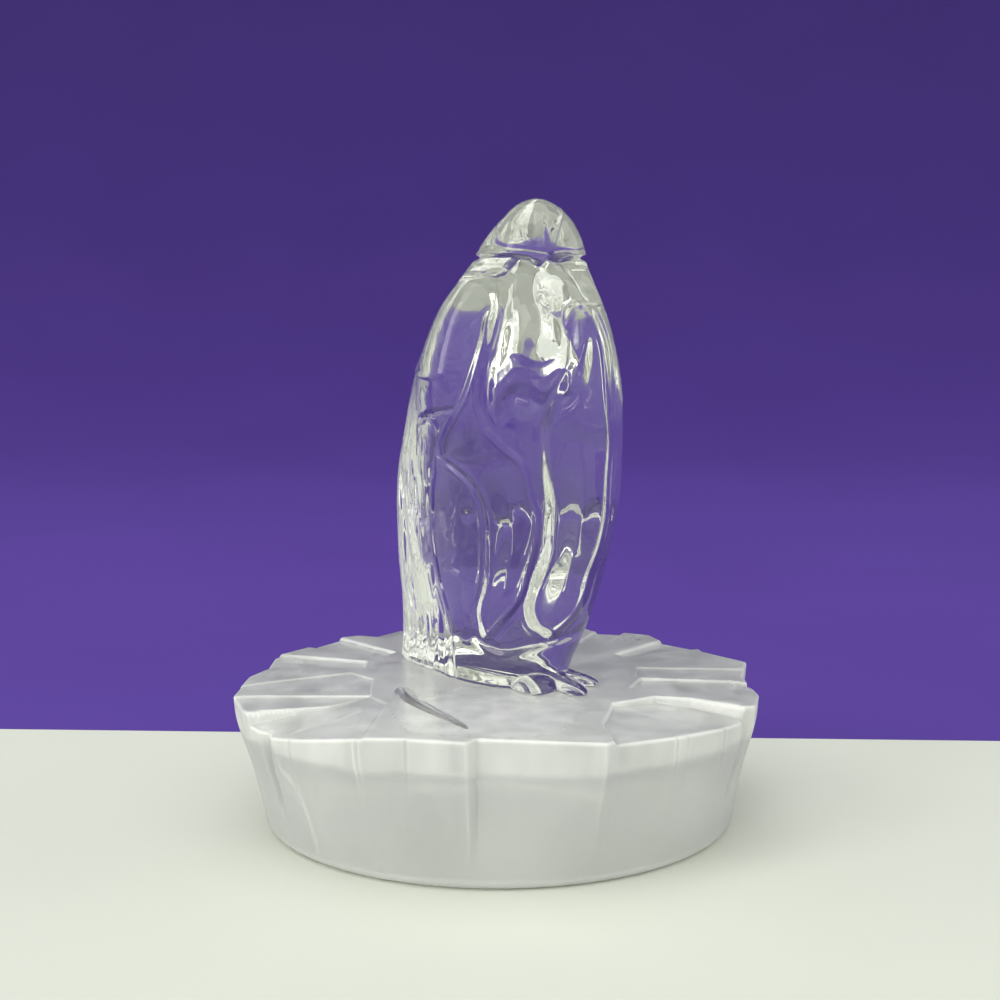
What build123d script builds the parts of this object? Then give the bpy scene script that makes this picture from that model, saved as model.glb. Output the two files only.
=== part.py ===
from build123d import *
import os
from math import cos, radians, sin

# Clear glass penguin standing on a thick satin glass ice floe.
# Millimetres, +Z up, origin on the table under the middle of the floe.
# The figure's front looks towards -Y, turned a little to +X.

# ---------------------------------------------------------------- floe
floe_height = 30.4          # table to the level that the figure stands on
foot_radius = 51.2          # round lower edge of the wall
foot_edge = 2.2             # rounding of that lower edge
wall_radius = 56.4          # the wall widens to this at wall_height
wall_height = 23.0
hollow_rim_radius = 42.0    # mouth of the hollow in the underside
hollow_top_radius = 38.5    # roof of the hollow
hollow_depth = 19.5         # table to the roof of the hollow
hollow_edge = 4.0           # rounding where the roof meets the wall

# broken outline of the floe's upper edge, counter-clockwise from +X
floe_outline = [
    (56.0, 13.5), (47.6, 25.0), (46.4, 30.2), (38.6, 38.0), (36.6, 42.8),
    (30.4, 46.2), (23.2, 48.8), (20.6, 52.4), (6.0, 55.0), (0.5, 52.2),
    (-9.5, 53.6), (-24.0, 50.2), (-29.5, 43.8), (-34.2, 43.6), (-38.0, 41.6),
    (-43.2, 35.4), (-44.4, 31.2), (-51.6, 21.6), (-52.2, 9.0), (-54.8, 1.5),
    (-56.0, -14.5), (-52.8, -26.5), (-44.6, -39.4), (-31.4, -47.6),
    (-27.6, -49.4), (-18.6, -50.6), (-6.0, -54.6), (-3.2, -50.6),
    (18.8, -55.0), (23.0, -51.2), (35.0, -47.4), (44.8, -39.2),
    (52.6, -26.0), (55.0, -13.0), (53.4, 1.0),
]

# shallow steps broken out of the upper face: outline, depth below the top;
# a shallow step reaches a little way under the deeper one beside it
floe_steps = [
    ([(-70.0, -35.0), (-51.6, -27.2), (-34.7, -23.4), (-26.9, -18.0), (-23.4, -25.0), (-26.0, -50.0), (-29.0, -70.0), (-70.0, -70.0)], 1.8),
    ([(26.0, -70.0), (22.0, -51.0), (20.6, -40.0), (23.4, -24.0), (32.6, -18.2), (45.8, -24.2), (50.2, -26.7), (70.0, -33.0), (70.0, -70.0)], 1.3),
    ([(-70.0, -15.2), (-27.2, -16.2), (-28.5, -21.0), (-36.0, -26.0), (-52.0, -30.0), (-70.0, -38.0)], 0.75),
    ([(-70.0, -13.6), (-54.3, -6.8), (-32.7, 4.2), (-27.4, -2.0), (-26.2, -17.2), (-40.0, -20.0), (-70.0, -20.0)], 0.35),
    ([(70.0, -7.2), (52.6, -4.4), (31.0, -1.6), (27.9, -10.6), (33.5, -22.0), (46.0, -28.0), (70.0, -38.0)], 0.7),
    ([(70.0, 10.5), (52.0, 6.4), (40.0, 7.4), (31.0, 8.0), (29.4, -4.0), (52.0, -8.0), (70.0, -10.0)], 0.3),
    ([(-70.0, 7.5), (-51.0, 10.6), (-30.0, 9.0), (-30.0, 15.5), (-50.0, 22.5), (-70.0, 30.0)], 0.7),
    ([(-70.0, 44.0), (-42.6, 29.4), (-27.0, 19.0), (-24.0, 25.0), (-36.6, 39.0), (-56.0, 60.0)], 0.8),
    ([(56.0, 34.0), (47.6, 29.0), (30.0, 17.0), (27.0, 22.6), (38.6, 37.2), (56.0, 55.0)], 0.8),
    ([(30.0, 75.0), (24.6, 50.0), (19.0, 35.0), (24.0, 31.0), (30.6, 46.4), (40.0, 70.0)], 0.7),
    ([(-38.0, 75.0), (-23.6, 49.8), (-16.0, 38.5), (-9.0, 41.0), (-9.5, 54.0), (-12.0, 75.0)], 0.6),
]

# ------------------------------------------------------------ adhesive
film_thickness = 0.2        # clear bond line between sole and floe
film_inset = 0.9            # bond line stays this far inside the sole's edge

# -------------------------------------------------------------- figure
face_turn = 20.0            # the figure's front is turned this far from -Y to +X
figure_top = 133.4
sole_z = floe_height + film_thickness

# horizontal sections of the body: height, left x, right x, front y, back y
body_sections = [
    (sole_z, -21.8, 16.4, -12.2, 37.0),
    (38.0, -21.8, 17.8, -12.6, 37.2),
    (47.0, -22.0, 21.0, -14.0, 36.8),
    (56.0, -22.5, 23.9, -15.2, 36.3),
    (68.0, -22.7, 26.3, -16.4, 36.2),
    (80.0, -21.6, 27.0, -16.9, 34.4),
    (90.0, -19.4, 26.5, -17.2, 30.0),
    (100.0, -16.6, 25.3, -16.6, 23.3),
    (108.0, -13.5, 23.2, -14.6, 18.2),
    (115.0, -9.3, 20.6, -12.0, 13.8),
    (120.6, -4.6, 18.0, -10.0, 10.2),
]
# head above the collar line; its back slopes down to the shoulders
head_sections = [
    (120.6, -3.8, 17.2, -9.4, 9.5),
    (122.4, -4.0, 18.4, -11.0, 8.8),
    (126.0, -1.7, 17.2, -10.5, 6.2),
    (129.4, 1.4, 15.1, -8.8, 3.6),
    (132.0, 4.4, 12.2, -5.4, 1.4),
    (figure_top, 7.6, 9.2, -2.2, -0.6),
]

flipper_stand = 1.4         # how far the folded flippers stand off the body

# folded flippers, drawn on the upright plane across the figure's front:
# across the figure (x, seen from the front), height
near_flipper = [            # on the viewer's left
    (-19.5, 96.0), (-12.0, 101.5), (-6.5, 97.0), (-6.0, 86.0), (-3.5, 76.0),
    (1.8, 66.0), (4.6, 56.0), (2.4, 47.0), (-4.5, 41.5), (-7.2, 47.0),
    (-7.0, 58.0), (-10.5, 67.0), (-16.0, 77.0), (-20.5, 86.0),
]
far_flipper = [             # on the viewer's right
    (9.5, 101.5), (15.5, 105.0), (24.5, 98.0), (27.5, 84.0), (27.0, 68.0),
    (22.0, 53.0), (14.5, 42.5), (8.0, 45.0), (4.8, 54.0), (6.6, 66.0),
    (6.4, 80.0), (8.0, 91.0),
]


def section(plane_z, left, right, front, back, grow=0.0):
    """Centre and half sizes of one horizontal section."""
    return (
        ((left + right) / 2, (front + back) / 2),
        (right - left) / 2 + grow,
        (back - front) / 2 + grow,
    )


# =============================================================== floe
with BuildPart() as floe:
    # broken upright edge of the slab
    with BuildSketch(Plane.XY):
        with BuildLine():
            Polyline(*floe_outline, close=True)
        make_face()
    extrude(amount=floe_height)
    # wall that narrows evenly to the rounded foot
    with BuildSketch(Plane.XZ):
        with BuildLine():
            Polyline(
                (0, 0), (foot_radius - foot_edge, 0), (foot_radius - 0.6, 0.7),
                (foot_radius, foot_edge), (wall_radius, wall_height), (wall_radius + 8, floe_height + 1),
                (0, floe_height + 1),
            )
            Line((0, floe_height + 1), (0, 0))
        make_face()
    revolve(axis=Axis.Z, mode=Mode.INTERSECT)
    # broken steps of the upper face
    for outline, depth in floe_steps:
        with BuildSketch(Plane.XY.offset(floe_height - depth)):
            with BuildLine():
                Polyline(*outline, close=True)
            make_face()
        extrude(amount=depth + 5, mode=Mode.SUBTRACT)
    # hollow underside
    with BuildSketch(Plane.XZ):
        with BuildLine():
            hollow_line = FilletPolyline(
                (0, hollow_depth), (hollow_top_radius, hollow_depth), (hollow_rim_radius, 0),
                radius=hollow_edge,
            )
            Polyline((hollow_rim_radius, 0), (hollow_rim_radius, -5), (0, -5), (0, hollow_depth))
        make_face()
    revolve(axis=Axis.Z, mode=Mode.SUBTRACT)

# ============================================================ penguin
front_plane = Plane(
    origin=(2.0, 8.0, 0.0),
    x_dir=(cos(radians(face_turn)), sin(radians(face_turn)), 0),
    z_dir=(sin(radians(face_turn)), -cos(radians(face_turn)), 0),
)

# a slightly larger body, cut to the outlines of the two folded flippers
with BuildPart() as flippers:
    for z, left, right, front, back in body_sections[1:-1]:
        centre, half_x, half_y = section(z, left, right, front, back, flipper_stand)
        with BuildSketch(Plane.XY.offset(z)):
            with Locations(centre):
                Ellipse(half_x, half_y)
    loft()
    with BuildSketch(front_plane):
        with BuildLine():
            Spline(*near_flipper, periodic=True)
        make_face()
        with BuildLine():
            Spline(*far_flipper, periodic=True)
        make_face()
    extrude(amount=60, mode=Mode.INTERSECT)

with BuildPart() as body:
    for z, left, right, front, back in body_sections:
        centre, half_x, half_y = section(z, left, right, front, back)
        with BuildSketch(Plane.XY.offset(z)):
            with Locations(centre):
                Ellipse(half_x, half_y)
    loft()

with BuildPart() as head:
    for z, left, right, front, back in head_sections:
        centre, half_x, half_y = section(z, left, right, front, back)
        with BuildSketch(Plane.XY.offset(z)):
            with Locations(centre):
                Ellipse(half_x, half_y)
    loft()

with BuildPart() as penguin:
    add(body.part)
    add(head.part)
    add(flippers.part)
    # beak, bowed to the chest
    beak_plane = Plane(
        origin=(9.2, -3.0, 126.5),
        x_dir=(cos(radians(face_turn)), sin(radians(face_turn)), 0),
        z_dir=(sin(radians(face_turn)), -cos(radians(face_turn)), -0.9),
    )
    with BuildSketch(beak_plane):
        Ellipse(4.2, 3.6)
    with BuildSketch(beak_plane.offset(10.5)):
        Ellipse(1.0, 0.8)
    loft()
    # webbed feet on the floe, in front of the sole
    for foot_x, foot_y, turn in ((4.0, -9.0, -6.0), (15.0, -7.5, 34.0)):
        with BuildSketch(Plane(origin=(foot_x, foot_y, sole_z), x_dir=(cos(radians(turn)), sin(radians(turn)), 0), z_dir=(0, 0, 1))):
            with BuildLine():
                Polyline((-4.5, 9.0), (-6.5, -3.5), (-3.0, -7.6), (-1.8, -5.6), (0.0, -9.0), (1.8, -5.6), (3.4, -7.2), (6.2, -2.5), (4.5, 9.0), close=True)
            make_face()
        extrude(amount=4.6, taper=24)

# ====================================================== adhesive film
sole_centre, sole_half_x, sole_half_y = section(*body_sections[0])
with BuildPart() as film:
    with BuildSketch(Plane.XY.offset(floe_height)):
        with Locations(sole_centre):
            Ellipse(sole_half_x - film_inset, sole_half_y - film_inset)
    extrude(amount=film_thickness)

# ============================================================== export
floe.part.label = "ice_floe_base"
penguin.part.label = "penguin"
film.part.label = "adhesive_film"

os.makedirs("parts", exist_ok=True)
export_step(floe.part, "parts/ice_floe_base.step")
export_step(penguin.part, "parts/penguin.step")
export_step(film.part, "parts/adhesive_film.step")

for name, made in (("ice_floe_base", floe.part), ("penguin", penguin.part), ("adhesive_film", film.part)):
    box = made.bounding_box()
    print(name, "solids", len(made.solids()), "volume %.1f" % made.volume,
          "box", [round(v, 2) for v in (box.min.X, box.min.Y, box.min.Z, box.max.X, box.max.Y, box.max.Z)])
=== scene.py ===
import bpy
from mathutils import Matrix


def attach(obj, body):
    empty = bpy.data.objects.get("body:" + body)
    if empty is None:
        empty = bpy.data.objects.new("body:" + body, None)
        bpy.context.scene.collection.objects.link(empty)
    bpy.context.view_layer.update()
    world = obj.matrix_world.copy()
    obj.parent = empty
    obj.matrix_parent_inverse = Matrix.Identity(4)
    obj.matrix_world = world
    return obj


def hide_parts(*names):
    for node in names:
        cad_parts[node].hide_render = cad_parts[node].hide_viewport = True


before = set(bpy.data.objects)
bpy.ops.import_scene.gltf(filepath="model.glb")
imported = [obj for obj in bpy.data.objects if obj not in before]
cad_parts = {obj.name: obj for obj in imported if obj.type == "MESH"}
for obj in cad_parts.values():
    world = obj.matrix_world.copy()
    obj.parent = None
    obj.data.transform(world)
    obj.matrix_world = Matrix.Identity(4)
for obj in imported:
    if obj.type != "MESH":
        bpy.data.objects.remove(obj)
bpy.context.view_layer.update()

import math

import bpy
import numpy as np
from mathutils import Matrix, Vector

MM = 0.001

# ------------------------------------------------------------------ camera
# Solved from the round foot and the upper edge of the floe.
CAM_X, CAM_Y, CAM_Z = 0.43, -380.0, 120.4      # mm
CAM_DOWN = 7.6665                              # degrees below level
CAM_ROLL = -0.183
FOCAL = 1.77933                                # in picture widths

camera_data = bpy.data.cameras.new("camera")
camera_data.sensor_width = 36.0
camera_data.lens = 36.0 * FOCAL
camera_data.clip_start = 0.01
camera_data.clip_end = 20.0
camera = bpy.data.objects.new("camera", camera_data)
bpy.context.scene.collection.objects.link(camera)
turn = Matrix.Rotation(math.radians(90.0 - CAM_DOWN), 4, "X") @ Matrix.Rotation(math.radians(CAM_ROLL), 4, "Z")
camera.matrix_world = Matrix.Translation((CAM_X * MM, CAM_Y * MM, CAM_Z * MM)) @ turn
bpy.context.scene.camera = camera


# ------------------------------------------------------------- small tools
def smoothstep(lo, hi, x):
    t = np.clip((np.asarray(x, float) - lo) / (hi - lo), 0.0, 1.0)
    return t * t * (3.0 - 2.0 * t)


def gauss(x, width):
    return np.exp(-((np.asarray(x, float) / width) ** 2))


def blur(values, sigma, wrap=False):
    """Gaussian filter of a 1-D table, sigma in samples."""
    n = int(sigma * 3) + 1
    k = np.exp(-0.5 * (np.arange(-n, n + 1) / sigma) ** 2)
    k /= k.sum()
    values = np.asarray(values, float)
    if wrap:
        padded = np.concatenate([values[-n:], values, values[:n]])
    else:
        lead = 2 * values[0] - values[1:n + 1][::-1]
        tail = 2 * values[-1] - values[-n - 1:-1][::-1]
        padded = np.concatenate([lead, values, tail])
    return np.convolve(padded, k, mode="valid")


def curve_through(points, per=10, closed=False):
    """Catmull-Rom curve through the points, as a dense polyline."""
    p = np.asarray(points, float)
    n = len(p)
    out = []
    spans = n if closed else n - 1
    for i in range(spans):
        if closed:
            a, b, c, d = p[(i - 1) % n], p[i], p[(i + 1) % n], p[(i + 2) % n]
        else:
            a, b, c, d = p[max(i - 1, 0)], p[i], p[i + 1], p[min(i + 2, n - 1)]
        t = np.arange(per)[:, None] / per
        out.append(
            0.5 * ((2 * b) + (c - a) * t + (2 * a - 5 * b + 4 * c - d) * t ** 2 + (3 * b - a - 3 * c + d) * t ** 3)
        )
    if not closed:
        out.append(p[-1:])
    return np.concatenate(out)


def line_distance(x, z, path):
    """Distance of each point to an open polyline, and how far along it the nearest point lies (0 to 1)."""
    x, z = np.asarray(x, float), np.asarray(z, float)
    best = np.full(x.shape, 1e9)
    along = np.zeros(x.shape)
    total = len(path) - 1
    for i in range(total):
        (x0, z0), (x1, z1) = path[i], path[i + 1]
        dx, dz = x1 - x0, z1 - z0
        length = dx * dx + dz * dz + 1e-12
        t = np.clip(((x - x0) * dx + (z - z0) * dz) / length, 0, 1)
        d = np.hypot(x - x0 - t * dx, z - z0 - t * dz)
        near = d < best
        best = np.where(near, d, best)
        along = np.where(near, (i + t) / total, along)
    return best, along


def region_distance(x, z, path):
    """Signed distance to a closed polyline: positive inside."""
    loop = np.concatenate([path, path[:1]])
    d, _ = line_distance(x, z, loop)
    inside = np.zeros(np.asarray(x).shape, bool)
    for i in range(len(loop) - 1):
        (x0, z0), (x1, z1) = loop[i], loop[i + 1]
        cross = (z0 > z) != (z1 > z)
        inside ^= cross & (x < (x1 - x0) * (z - z0) / (z1 - z0 + 1e-12) + x0)
    return np.where(inside, d, -d)


def value_noise(x, y, z, seed):
    """Smooth 3-D value noise in -1..1, the same each run."""
    rng = np.random.RandomState(seed)
    table = rng.uniform(-1, 1, (32, 32, 32))
    def corner(ix, iy, iz):
        return table[ix % 32, iy % 32, iz % 32]
    x, y, z = (np.asarray(v, float) for v in (x, y, z))
    ix, iy, iz = (np.floor(v).astype(int) for v in (x, y, z))
    fx, fy, fz = (v - np.floor(v) for v in (x, y, z))
    fx, fy, fz = (v * v * (3 - 2 * v) for v in (fx, fy, fz))
    out = 0
    for a in (0, 1):
        for b in (0, 1):
            for c in (0, 1):
                w = (fx if a else 1 - fx) * (fy if b else 1 - fy) * (fz if c else 1 - fz)
                out = out + w * corner(ix + a, iy + b, iz + c)
    return out


def grid_mesh(name, rings, cap_first=True, cap_last=True):
    """A closed mesh from rings of points (n rings, m points each, 3), in mm. Rings of one point close the ends."""
    verts, faces = [], []
    index = []
    for ring in rings:
        ring = np.asarray(ring, float).reshape(-1, 3)
        index.append((len(verts), len(ring)))
        verts.extend(ring * MM)
    for (a, na), (b, nb) in zip(index[:-1], index[1:]):
        if na == nb:
            for i in range(na):
                j = (i + 1) % na
                faces.append((a + i, a + j, b + j, b + i))
        elif na == 1:
            for i in range(nb):
                faces.append((a, b + (i + 1) % nb, b + i))
        else:
            for i in range(na):
                faces.append((a + i, a + (i + 1) % na, b))
    mesh = bpy.data.meshes.new(name)
    mesh.from_pydata([tuple(v) for v in verts], [], faces)
    mesh.update()
    piece = bpy.data.objects.new(name, mesh)
    bpy.context.scene.collection.objects.link(piece)
    return piece


def finish_mesh(piece, smooth=True):
    """Outward normals and smooth shading."""
    import bmesh
    bm = bmesh.new()
    bm.from_mesh(piece.data)
    bmesh.ops.recalc_face_normals(bm, faces=bm.faces)
    bm.to_mesh(piece.data)
    bm.free()
    for poly in piece.data.polygons:
        poly.use_smooth = smooth
    piece.data.update()


# ================================================================ penguin
SOLE = 30.62
TOP = 133.3

# outline as the camera sees it, on the upright plane through the middle: x, z
OUT_LEFT = [
    (8.4, 133.3), (4.6, 132.2), (1.7, 129.7), (-0.7, 127.1), (-2.9, 124.3), (-3.7, 122.4), (-4.6, 121.0),
    (-7.5, 117.1), (-8.6, 115.6), (-12.0, 110.9), (-13.8, 107.1), (-15.6, 102.6), (-17.8, 94.1),
    (-19.9, 84.4), (-20.9, 80.1), (-21.7, 74.0), (-21.9, 69.3), (-21.7, 56.2), (-20.8, 45.2), (-21.2, 36.0), (-21.8, 31.0),
]
OUT_RIGHT = [
    (8.4, 133.3), (13.0, 131.5), (16.0, 128.5), (17.9, 124.5), (18.4, 121.3), (18.9, 119.6), (20.5, 115.5),
    (22.0, 112.2), (23.9, 107.1), (25.7, 99.6), (26.7, 92.0), (26.9, 82.1), (26.3, 69.2), (24.6, 59.3),
    (22.2, 50.6), (20.2, 44.6), (19.5, 42.2), (18.3, 39.4), (16.6, 36.4), (15.4, 33.6), (15.0, 31.0),
]
# height; widest place x, y; half width; reach to the front and to the back of it; turn of the face in degrees
BODY = [
    (30.6, -5.5, 19.0, 17.3, 35.0, 14.5, 28.0), (45.0, -4.6, 18.0, 18.6, 33.5, 16.0, 28.0),
    (60.0, -3.0, 15.5, 20.6, 32.0, 18.8, 27.0), (74.0, -1.0, 13.0, 21.8, 29.6, 21.6, 25.0), (81.0, 1.0, 11.4, 21.6, 27.2, 22.0, 20.0),
    (88.0, 2.4, 10.0, 21.3, 25.6, 20.4, 10.0), (94.0, 3.0, 9.0, 20.8, 24.6, 17.8, 3.0), (102.0, 4.0, 7.6, 18.8, 22.6, 14.4, 0.0),
    (108.0, 4.6, 6.0, 16.9, 19.6, 12.0, 0.0), (115.0, 5.4, 2.6, 14.0, 14.8, 10.6, 0.0), (118.5, 6.2, 1.6, 12.5, 13.0, 9.4, 0.0), (122.5, 7.0, 0.6, 10.7, 11.0, 8.2, 0.0),
    (124.0, 7.4, 0.2, 10.1, 10.6, 7.4, 0.0), (128.0, 7.9, -0.6, 8.2, 8.8, 5.0, 0.0), (130.0, 8.1, -0.9, 6.5, 7.0, 3.8, 0.0),
    (131.8, 8.3, -1.2, 4.4, 4.6, 2.7, 0.0), (133.3, 8.4, -1.4, 0.0, 0.0, 0.0, 0.0),
]

HOOD_LINE = [(-30, 122.0), (-3.4, 121.6), (0.0, 121.5), (3.8, 121.6), (6.9, 121.0), (10.6, 119.6), (12.6, 120.5), (14.2, 121.0), (18.4, 120.4), (40, 120.4)]

FAR_FLIPPER = [   # viewer's right
    (16.5, 108.2), (16.1, 102.5), (14.4, 96.8), (11.4, 91.2), (9.7, 84.3), (9.9, 75.7), (10.6, 69.2),
    (10.3, 62.7), (9.7, 57.2), (7.5, 51.3), (6.2, 46.2), (7.1, 42.2), (9.3, 40.4), (11.7, 39.3),
    (16.2, 43.3), (18.4, 47.5), (19.9, 53.0), (22.0, 58.9), (23.3, 65.7), (23.7, 73.9), (24.1, 82.2),
    (23.6, 90.7), (22.7, 101.4), (20.6, 108.0), (18.6, 110.4),
]
NEAR_FLIPPER = [  # viewer's left
    (-0.9, 109.4), (-1.6, 103.6), (-3.1, 97.2), (-3.8, 90.8), (-2.3, 85.5), (1.3, 81.4), (5.8, 76.8),
    (7.5, 69.9), (8.8, 65.7), (8.4, 59.4), (6.7, 53.0), (5.0, 47.5), (1.2, 42.5), (-2.5, 38.7),
    (-4.2, 42.1), (-4.5, 45.6), (-3.1, 51.1), (-2.6, 57.2), (-2.8, 65.8), (-4.8, 71.9), (-8.1, 75.8),
    (-11.8, 79.0), (-11.1, 84.4), (-7.6, 90.8), (-5.5, 96.8), (-3.4, 103.6), (-2.4, 108.4),
]
COAT_EDGE = [(-17.7, 88.5), (-14.9, 86.0), (-13.6, 82.3), (-14.6, 75.8), (-15.3, 69.3), (-15.6, 60.6), (-14.4, 51.8), (-12.0, 42.9), (-11.0, 36.3), (-10.2, 30.3)]
FLANK_LEAF = [
    (-13.2, 80.0), (-11.8, 79.0), (-8.1, 75.8), (-4.8, 71.9), (-3.0, 65.8), (-2.8, 57.2), (-3.3, 51.1), (-4.7, 45.6),
    (-4.6, 42.0), (-6.0, 39.6), (-8.6, 39.6), (-11.0, 43.4), (-13.2, 52.0), (-14.2, 60.6), (-14.0, 69.3), (-13.4, 75.8),
]
SHOULDER_LEFT = [
    (-30, 117.4), (-9.5, 117.0), (-6.0, 116.6), (-3.1, 115.6), (-1.6, 113.6), (-0.9, 111.0), (-1.6, 103.6), (-3.1, 97.2),
    (-6.0, 92.0), (-12.0, 86.0), (-18.0, 84.0), (-30, 84.0),
]
SHOULDER_RIGHT = [
    (40, 111.5), (20.9, 111.2), (17.6, 111.6), (15.6, 110.4), (14.8, 108.0), (15.0, 104.0), (16.6, 99.0), (20.0, 94.0), (40, 94.0),
]


BACK_FOLDS = [    # line x, z; half width; depth
    ([(17.0, 101.0), (19.0, 95.0), (20.2, 88.0), (19.8, 82.0)], 1.3, 1.2),
    ([(20.6, 83.0), (21.6, 77.0), (21.8, 71.0), (19.8, 65.0), (17.4, 58.0), (15.6, 50.0), (14.4, 45.0)], 0.8, 0.8),
    ([(5.6, 70.4), (9.4, 68.6), (14.0, 71.0)], 0.7, 0.8),
    ([(9.4, 68.6), (7.4, 62.6)], 0.6, 0.7),
    ([(8.0, 55.8), (10.2, 57.6), (12.0, 57.2), (14.0, 60.4), (15.6, 63.6)], 0.75, 1.0),
]


def build_penguin():
    n_ring, n_turn = 560, 600
    s = np.linspace(0.0, math.sqrt(TOP - SOLE), n_ring)
    z = TOP - s * s

    rows = np.array(BODY, float)
    row_key = np.sqrt(np.maximum(TOP - rows[:, 0], 0))
    order = np.argsort(row_key)

    def profile(column, sigma=13.0):
        v = np.interp(s, row_key[order], rows[order, column])
        return blur(v, sigma)

    wx, wy, wide, fore, aft, turned = (profile(i) for i in range(1, 7))
    ease = smoothstep(0.0, 1.1, s)
    for v in (wide, fore, aft):
        v[:] = v * ease + (1 - ease) * s * (v[45] / s[45])
        v[0] = 1e-3
    turned = np.radians(turned)
    # the section in its own frame: an egg, its narrow end to the front
    th = np.arange(n_turn) / n_turn * 2 * math.pi
    fx, fy = np.sin(turned)[:, None], -np.cos(turned)[:, None]
    c, sn = np.cos(th)[None, :], np.sin(th)[None, :]
    v_ = c * fx + sn * fy
    u_ = -c * fy + sn * fx
    reach = np.where(v_ > 0, fore[:, None], aft[:, None])
    # the back is flatter than the front below the shoulders
    behind = smoothstep(0.1, -0.1, v_)
    p = 2.0 + 0.8 * behind * smoothstep(94, 74, z)[:, None]
    p = p + 3.0 * (smoothstep(78, 98, z) * smoothstep(119.5, 114, z))[:, None]
    r = ((np.abs(u_) / wide[:, None]) ** p + (np.abs(v_) / reach) ** p) ** (-1 / p)
    x = wx[:, None] + r * c
    y = wy[:, None] + r * sn
    zz = z[:, None] + 0 * r
    # fit the outline that the camera sees: stretch each ring sideways only
    left = np.array(OUT_LEFT, float)
    right = np.array(OUT_RIGHT, float)
    k = 380.0 / (380.0 + y)
    X = CAM_X + (x - CAM_X) * k
    il, ir = X.argmin(1), X.argmax(1)
    rows_i = np.arange(n_ring)
    yl, yr = y[rows_i, il], y[rows_i, ir]

    def wanted(outline, depth):
        seen = CAM_Z + (z - CAM_Z) * 380.0 / (380.0 + depth)
        v = np.interp(np.sqrt(np.maximum(TOP - seen, 0)), np.sqrt(np.maximum(TOP - outline[:, 1], 0)), outline[:, 0])
        return blur(CAM_X + (v - CAM_X) * (380.0 + depth) / 380.0, 7.0)

    goal_l, goal_r = wanted(left, yl), wanted(right, yr)
    goal_l[0] = goal_r[0] = (goal_l[0] + goal_r[0]) / 2
    have_l, have_r = x[rows_i, il], x[rows_i, ir]
    gain = np.maximum(goal_r - goal_l, 1e-3) / np.maximum(have_r - have_l, 1e-3)
    shift = (goal_l + goal_r) / 2 - gain * (have_l + have_r) / 2
    gain[:8], shift[:8] = gain[8], shift[8]
    x = gain[:, None] * x + shift[:, None]
    mid_x, cy = (goal_l + goal_r) / 2, blur(wy - 0.12 * (fore - aft), 8.0)
    # from here on each ring is handled round its own middle
    r = np.hypot(x - mid_x[:, None], y - cy[:, None])
    ang = np.arctan2(y - cy[:, None], x - mid_x[:, None])
    even = th[None, :] + 0 * r
    for i in range(1, n_ring):
        a_i = np.unwrap(ang[i])
        a_i = np.concatenate([a_i - 2 * math.pi, a_i, a_i + 2 * math.pi])
        r[i] = np.interp(th, a_i, np.tile(r[i], 3))
    x = mid_x[:, None] + r * c
    y = cy[:, None] + r * sn
    # outward direction, from the ring's own slope
    dth = 2 * math.pi / n_turn
    slope = (np.roll(r, -1, 1) - np.roll(r, 1, 1)) / (2 * dth) / np.maximum(r, 1e-6)
    nx, ny = c + slope * sn, sn - slope * c
    # what the camera sees of each point, on the middle plane
    k = 380.0 / (380.0 + y)
    X = CAM_X + (x - CAM_X) * k
    Z = CAM_Z + (zz - CAM_Z) * k
    # how much a point faces the camera, from the side
    nl = np.hypot(nx, ny)
    vx, vy = CAM_X - x, -380.0 - y
    facing = (nx * vx + ny * vy) / nl / np.hypot(vx, vy)
    front = smoothstep(-0.02, 0.22, facing)

    dr = np.zeros_like(r)
    # collar line under the head: a narrow notch with a fuller lip over it, right round the neck
    hood = curve_through(HOOD_LINE, 6)
    hz = np.interp(X, hood[:, 0], hood[:, 1])
    hz = hz * front + 121.4 * (1 - front)
    up = (Z * front + zz * (1 - front)) - hz
    round_ = 0.15 + 0.85 * smoothstep(-0.75, 0.05, facing)
    dr += round_ * 0.5 * np.where(up > 0, np.exp(-up / 2.2), 0) * smoothstep(-0.2, 0.4, up)
    dr -= round_ * 1.05 * gauss(up + 0.6, 0.52)

    seen = front > 0.01

    def inside(outline, per=5, closed_curve=True):
        path = curve_through(outline, per, closed=True) if closed_curve else np.array(outline, float)
        d = np.full(r.shape, -50.0)
        d[seen] = region_distance(X[seen], Z[seen], path)
        return d

    def beside(line, per=5):
        d = np.full(r.shape, 50.0)
        t = np.zeros(r.shape)
        d[seen], t[seen] = line_distance(X[seen], Z[seen], curve_through(line, per))
        return d, t

    # shoulders keep the full width; between them the neck is drawn in and slopes out to the breast
    sl = inside(SHOULDER_LEFT, 1, False)
    sr = inside(SHOULDER_RIGHT, 1, False)
    open_ = 1 - np.maximum(smoothstep(-0.45, 0.6, sl) * smoothstep(84, 90, Z), smoothstep(-0.45, 0.6, sr) * smoothstep(94, 100, Z))
    low = Z + 4.0 * smoothstep(3.5, -0.5, X)     # the slope runs further down beside the viewer's left flipper
    low = low + 2.0 * gauss(X - 9.0, 2.6) - 0.8 + 1.1 * value_noise(X / 2.4 + 2, Z / 6.0, 0 * X + 0.5, 31)   # the breast's lower edge is uneven
    drawn = np.interp(low, [86, 91.0, 94.0, 97.0, 100.0, 104.0, 108.0, 112.0, 116.0, 118.5, 120.2, 120.9], [0, 0.4, 1.9, 2.3, 1.7, 0.2, -1.3, -2.8, -3.9, -4.3, -4.5, 0])
    between = smoothstep(-2.6, 0.2, X) * smoothstep(16.6, 13.6, X)
    dr += front * open_ * np.where(drawn > 0, drawn * between, drawn * smoothstep(97, 103, Z))
    d = np.hypot((X - 7.4) / 6.2, (Z - 104.6) / 7.0)
    dr += front * 1.1 * np.clip(1 - d * d, 0, 1) ** 1.3

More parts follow.
